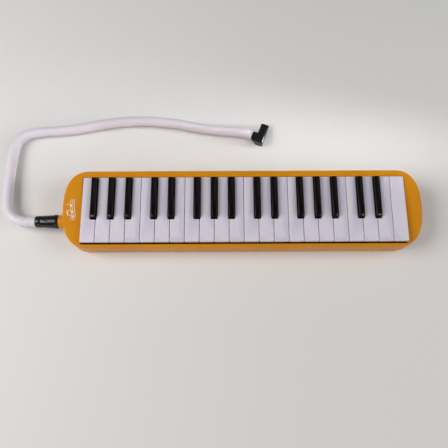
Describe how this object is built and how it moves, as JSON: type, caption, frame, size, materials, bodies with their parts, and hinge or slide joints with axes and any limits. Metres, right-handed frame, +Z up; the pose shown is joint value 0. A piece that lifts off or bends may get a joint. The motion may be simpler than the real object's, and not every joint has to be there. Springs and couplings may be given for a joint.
{
  "type": "melodica",
  "caption": "Hand-held free-reed keyboard instrument in a rounded two-part case, with see-saw keys, a wind chamber with reeds, and a push-in blowing hose with an angled mouthpiece.",
  "frame": {"origin": "on the plane of the base, under the middle of the case's length and near the middle of its width", "axes": "+X along the keyboard from low notes to high notes, -Y towards the player, +Z up through the keys"},
  "size_m": [0.5164, 0.1811, 0.0444],
  "materials": {
    "orange_shell": "moulded ABS with a soft gloss",
    "white_key": "polished moulded plastic",
    "black_key": "satin moulded plastic",
    "black_plastic": "satin moulded plastic",
    "grey_plastic": "moulded plastic, unpolished",
    "brass": "rolled sheet with punched slots",
    "steel": "bright spring and rod steel",
    "rubber": "soft moulded rubber",
    "felt": "pressed wool felt",
    "webbing": "woven polyester webbing",
    "hose_plastic": "flexible translucent white tube"
  },
  "bodies": {
    "case": {"upper_case": "orange_shell", "lower_case": "orange_shell", "blow_socket": "orange_shell", "key_bed": "grey_plastic", "chamber_cover": "grey_plastic", "chamber_gasket": "rubber", "reed_plate_low": "brass", "reed_plate_high": "brass", "key_axle": "steel", "spring_comb": "steel", "drain_spring": "steel", "key_stop_felt": "felt", "hand_strap": "webbing", "case_screw_1": "steel", "case_screw_2": "steel", "case_screw_3": "steel", "case_screw_4": "steel"},
    "hose_plug": {"hose_plug": "black_plastic"},
    "hose": {"hose": "hose_plastic"},
    "mouthpiece": {"mouthpiece_elbow": "black_plastic", "mouthpiece_tip": "black_plastic"},
    "drain_valve": {"drain_button": "black_plastic", "drain_seal": "rubber"},
    "key_F3": {"white_key_F3": "white_key"},
    "key_Fs3": {"black_key_Fs3": "black_key"},
    "key_G3": {"white_key_G3": "white_key"},
    "key_Gs3": {"black_key_Gs3": "black_key"},
    "key_A3": {"white_key_A3": "white_key"},
    "key_As3": {"black_key_As3": "black_key"},
    "key_B3": {"white_key_B3": "white_key"},
    "key_C4": {"white_key_C4": "white_key"},
    "key_Cs4": {"black_key_Cs4": "black_key"},
    "key_D4": {"white_key_D4": "white_key"},
    "key_Ds4": {"black_key_Ds4": "black_key"},
    "key_E4": {"white_key_E4": "white_key"},
    "key_F4": {"white_key_F4": "white_key"},
    "key_Fs4": {"black_key_Fs4": "black_key"},
    "key_G4": {"white_key_G4": "white_key"},
    "key_Gs4": {"black_key_Gs4": "black_key"},
    "key_A4": {"white_key_A4": "white_key"},
    "key_As4": {"black_key_As4": "black_key"},
    "key_B4": {"white_key_B4": "white_key"},
    "key_C5": {"white_key_C5": "white_key"},
    "key_Cs5": {"black_key_Cs5": "black_key"},
    "key_D5": {"white_key_D5": "white_key"},
    "key_Ds5": {"black_key_Ds5": "black_key"},
    "key_E5": {"white_key_E5": "white_key"},
    "key_F5": {"white_key_F5": "white_key"},
    "key_Fs5": {"black_key_Fs5": "black_key"},
    "key_G5": {"white_key_G5": "white_key"},
    "key_Gs5": {"black_key_Gs5": "black_key"},
    "key_A5": {"white_key_A5": "white_key"},
    "key_As5": {"black_key_As5": "black_key"},
    "key_B5": {"white_key_B5": "white_key"},
    "key_C6": {"white_key_C6": "white_key"},
    "key_Cs6": {"black_key_Cs6": "black_key"},
    "key_D6": {"white_key_D6": "white_key"},
    "key_Ds6": {"black_key_Ds6": "black_key"},
    "key_E6": {"white_key_E6": "white_key"},
    "key_F6": {"white_key_F6": "white_key"}
  },
  "joints": [
    {"name": "hose_plug_pull", "type": "slide", "parent": "case", "child": "hose_plug", "axis": [-1, 0, 0], "range_m": [0, 0.025]},
    {"name": "hose_swivel", "type": "hinge", "parent": "hose_plug", "child": "hose", "pos_m": [-0.2536, -0.0108, 0.014], "axis": [1, 0, 0], "range_deg": [0, 90]},
    {"name": "mouthpiece_swivel", "type": "hinge", "parent": "hose", "child": "mouthpiece", "pos_m": [0.015, 0.107, 0.0066], "axis": [0.9394, -0.3429, 0], "range_deg": [0, 180]},
    {"name": "drain_button_press", "type": "slide", "parent": "case", "child": "drain_valve", "axis": [0, 0, 1], "range_m": [0, 0.002], "stiffness_N_per_m": 100, "springref_m": -0.004, "deforming": ["drain_spring"]},
    {"name": "key_F3_press", "type": "hinge", "parent": "case", "child": "key_F3", "pos_m": [0, 0.018, 0.027], "axis": [1, 0, 0], "range_deg": [0, 4.66], "stiffness_Nm_per_rad": 0.2, "springref_deg": -11.46},
    {"name": "key_Fs3_press", "type": "hinge", "parent": "case", "child": "key_Fs3", "pos_m": [0, 0.018, 0.027], "axis": [1, 0, 0], "range_deg": [0, 5.6], "stiffness_Nm_per_rad": 0.2, "springref_deg": -11.46},
    {"name": "key_G3_press", "type": "hinge", "parent": "case", "child": "key_G3", "pos_m": [0, 0.018, 0.027], "axis": [1, 0, 0], "range_deg": [0, 4.66], "stiffness_Nm_per_rad": 0.2, "springref_deg": -11.46},
    {"name": "key_Gs3_press", "type": "hinge", "parent": "case", "child": "key_Gs3", "pos_m": [0, 0.018, 0.027], "axis": [1, 0, 0], "range_deg": [0, 5.6], "stiffness_Nm_per_rad": 0.2, "springref_deg": -11.46},
    {"name": "key_A3_press", "type": "hinge", "parent": "case", "child": "key_A3", "pos_m": [0, 0.018, 0.027], "axis": [1, 0, 0], "range_deg": [0, 4.66], "stiffness_Nm_per_rad": 0.2, "springref_deg": -11.46},
    {"name": "key_As3_press", "type": "hinge", "parent": "case", "child": "key_As3", "pos_m": [0, 0.018, 0.027], "axis": [1, 0, 0], "range_deg": [0, 5.6], "stiffness_Nm_per_rad": 0.2, "springref_deg": -11.46},
    {"name": "key_B3_press", "type": "hinge", "parent": "case", "child": "key_B3", "pos_m": [0, 0.018, 0.027], "axis": [1, 0, 0], "range_deg": [0, 4.66], "stiffness_Nm_per_rad": 0.2, "springref_deg": -11.46},
    {"name": "key_C4_press", "type": "hinge", "parent": "case", "child": "key_C4", "pos_m": [0, 0.018, 0.027], "axis": [1, 0, 0], "range_deg": [0, 4.66], "stiffness_Nm_per_rad": 0.2, "springref_deg": -11.46},
    {"name": "key_Cs4_press", "type": "hinge", "parent": "case", "child": "key_Cs4", "pos_m": [0, 0.018, 0.027], "axis": [1, 0, 0], "range_deg": [0, 5.6], "stiffness_Nm_per_rad": 0.2, "springref_deg": -11.46},
    {"name": "key_D4_press", "type": "hinge", "parent": "case", "child": "key_D4", "pos_m": [0, 0.018, 0.027], "axis": [1, 0, 0], "range_deg": [0, 4.66], "stiffness_Nm_per_rad": 0.2, "springref_deg": -11.46},
    {"name": "key_Ds4_press", "type": "hinge", "parent": "case", "child": "key_Ds4", "pos_m": [0, 0.018, 0.027], "axis": [1, 0, 0], "range_deg": [0, 5.6], "stiffness_Nm_per_rad": 0.2, "springref_deg": -11.46},
    {"name": "key_E4_press", "type": "hinge", "parent": "case", "child": "key_E4", "pos_m": [0, 0.018, 0.027], "axis": [1, 0, 0], "range_deg": [0, 4.66], "stiffness_Nm_per_rad": 0.2, "springref_deg": -11.46},
    {"name": "key_F4_press", "type": "hinge", "parent": "case", "child": "key_F4", "pos_m": [0, 0.018, 0.027], "axis": [1, 0, 0], "range_deg": [0, 4.66], "stiffness_Nm_per_rad": 0.2, "springref_deg": -11.46},
    {"name": "key_Fs4_press", "type": "hinge", "parent": "case", "child": "key_Fs4", "pos_m": [0, 0.018, 0.027], "axis": [1, 0, 0], "range_deg": [0, 5.6], "stiffness_Nm_per_rad": 0.2, "springref_deg": -11.46},
    {"name": "key_G4_press", "type": "hinge", "parent": "case", "child": "key_G4", "pos_m": [0, 0.018, 0.027], "axis": [1, 0, 0], "range_deg": [0, 4.66], "stiffness_Nm_per_rad": 0.2, "springref_deg": -11.46},
    {"name": "key_Gs4_press", "type": "hinge", "parent": "case", "child": "key_Gs4", "pos_m": [0, 0.018, 0.027], "axis": [1, 0, 0], "range_deg": [0, 5.6], "stiffness_Nm_per_rad": 0.2, "springref_deg": -11.46},
    {"name": "key_A4_press", "type": "hinge", "parent": "case", "child": "key_A4", "pos_m": [0, 0.018, 0.027], "axis": [1, 0, 0], "range_deg": [0, 4.66], "stiffness_Nm_per_rad": 0.2, "springref_deg": -11.46},
    {"name": "key_As4_press", "type": "hinge", "parent": "case", "child": "key_As4", "pos_m": [0, 0.018, 0.027], "axis": [1, 0, 0], "range_deg": [0, 5.6], "stiffness_Nm_per_rad": 0.2, "springref_deg": -11.46},
    {"name": "key_B4_press", "type": "hinge", "parent": "case", "child": "key_B4", "pos_m": [0, 0.018, 0.027], "axis": [1, 0, 0], "range_deg": [0, 4.66], "stiffness_Nm_per_rad": 0.2, "springref_deg": -11.46},
    {"name": "key_C5_press", "type": "hinge", "parent": "case", "child": "key_C5", "pos_m": [0, 0.018, 0.027], "axis": [1, 0, 0], "range_deg": [0, 4.66], "stiffness_Nm_per_rad": 0.2, "springref_deg": -11.46},
    {"name": "key_Cs5_press", "type": "hinge", "parent": "case", "child": "key_Cs5", "pos_m": [0, 0.018, 0.027], "axis": [1, 0, 0], "range_deg": [0, 5.6], "stiffness_Nm_per_rad": 0.2, "springref_deg": -11.46},
    {"name": "key_D5_press", "type": "hinge", "parent": "case", "child": "key_D5", "pos_m": [0, 0.018, 0.027], "axis": [1, 0, 0], "range_deg": [0, 4.66], "stiffness_Nm_per_rad": 0.2, "springref_deg": -11.46},
    {"name": "key_Ds5_press", "type": "hinge", "parent": "case", "child": "key_Ds5", "pos_m": [0, 0.018, 0.027], "axis": [1, 0, 0], "range_deg": [0, 5.6], "stiffness_Nm_per_rad": 0.2, "springref_deg": -11.46},
    {"name": "key_E5_press", "type": "hinge", "parent": "case", "child": "key_E5", "pos_m": [0, 0.018, 0.027], "axis": [1, 0, 0], "range_deg": [0, 4.66], "stiffness_Nm_per_rad": 0.2, "springref_deg": -11.46},
    {"name": "key_F5_press", "type": "hinge", "parent": "case", "child": "key_F5", "pos_m": [0, 0.018, 0.027], "axis": [1, 0, 0], "range_deg": [0, 4.66], "stiffness_Nm_per_rad": 0.2, "springref_deg": -11.46},
    {"name": "key_Fs5_press", "type": "hinge", "parent": "case", "child": "key_Fs5", "pos_m": [0, 0.018, 0.027], "axis": [1, 0, 0], "range_deg": [0, 5.6], "stiffness_Nm_per_rad": 0.2, "springref_deg": -11.46},
    {"name": "key_G5_press", "type": "hinge", "parent": "case", "child": "key_G5", "pos_m": [0, 0.018, 0.027], "axis": [1, 0, 0], "range_deg": [0, 4.66], "stiffness_Nm_per_rad": 0.2, "springref_deg": -11.46},
    {"name": "key_Gs5_press", "type": "hinge", "parent": "case", "child": "key_Gs5", "pos_m": [0, 0.018, 0.027], "axis": [1, 0, 0], "range_deg": [0, 5.6], "stiffness_Nm_per_rad": 0.2, "springref_deg": -11.46},
    {"name": "key_A5_press", "type": "hinge", "parent": "case", "child": "key_A5", "pos_m": [0, 0.018, 0.027], "axis": [1, 0, 0], "range_deg": [0, 4.66], "stiffness_Nm_per_rad": 0.2, "springref_deg": -11.46},
    {"name": "key_As5_press", "type": "hinge", "parent": "case", "child": "key_As5", "pos_m": [0, 0.018, 0.027], "axis": [1, 0, 0], "range_deg": [0, 5.6], "stiffness_Nm_per_rad": 0.2, "springref_deg": -11.46},
    {"name": "key_B5_press", "type": "hinge", "parent": "case", "child": "key_B5", "pos_m": [0, 0.018, 0.027], "axis": [1, 0, 0], "range_deg": [0, 4.66], "stiffness_Nm_per_rad": 0.2, "springref_deg": -11.46},
    {"name": "key_C6_press", "type": "hinge", "parent": "case", "child": "key_C6", "pos_m": [0, 0.018, 0.027], "axis": [1, 0, 0], "range_deg": [0, 4.66], "stiffness_Nm_per_rad": 0.2, "springref_deg": -11.46},
    {"name": "key_Cs6_press", "type": "hinge", "parent": "case", "child": "key_Cs6", "pos_m": [0, 0.018, 0.027], "axis": [1, 0, 0], "range_deg": [0, 5.6], "stiffness_Nm_per_rad": 0.2, "springref_deg": -11.46},
    {"name": "key_D6_press", "type": "hinge", "parent": "case", "child": "key_D6", "pos_m": [0, 0.018, 0.027], "axis": [1, 0, 0], "range_deg": [0, 4.66], "stiffness_Nm_per_rad": 0.2, "springref_deg": -11.46},
    {"name": "key_Ds6_press", "type": "hinge", "parent": "case", "child": "key_Ds6", "pos_m": [0, 0.018, 0.027], "axis": [1, 0, 0], "range_deg": [0, 5.6], "stiffness_Nm_per_rad": 0.2, "springref_deg": -11.46},
    {"name": "key_E6_press", "type": "hinge", "parent": "case", "child": "key_E6", "pos_m": [0, 0.018, 0.027], "axis": [1, 0, 0], "range_deg": [0, 4.66], "stiffness_Nm_per_rad": 0.2, "springref_deg": -11.46},
    {"name": "key_F6_press", "type": "hinge", "parent": "case", "child": "key_F6", "pos_m": [0, 0.018, 0.027], "axis": [1, 0, 0], "range_deg": [0, 4.66], "stiffness_Nm_per_rad": 0.2, "springref_deg": -11.46}
  ]
}
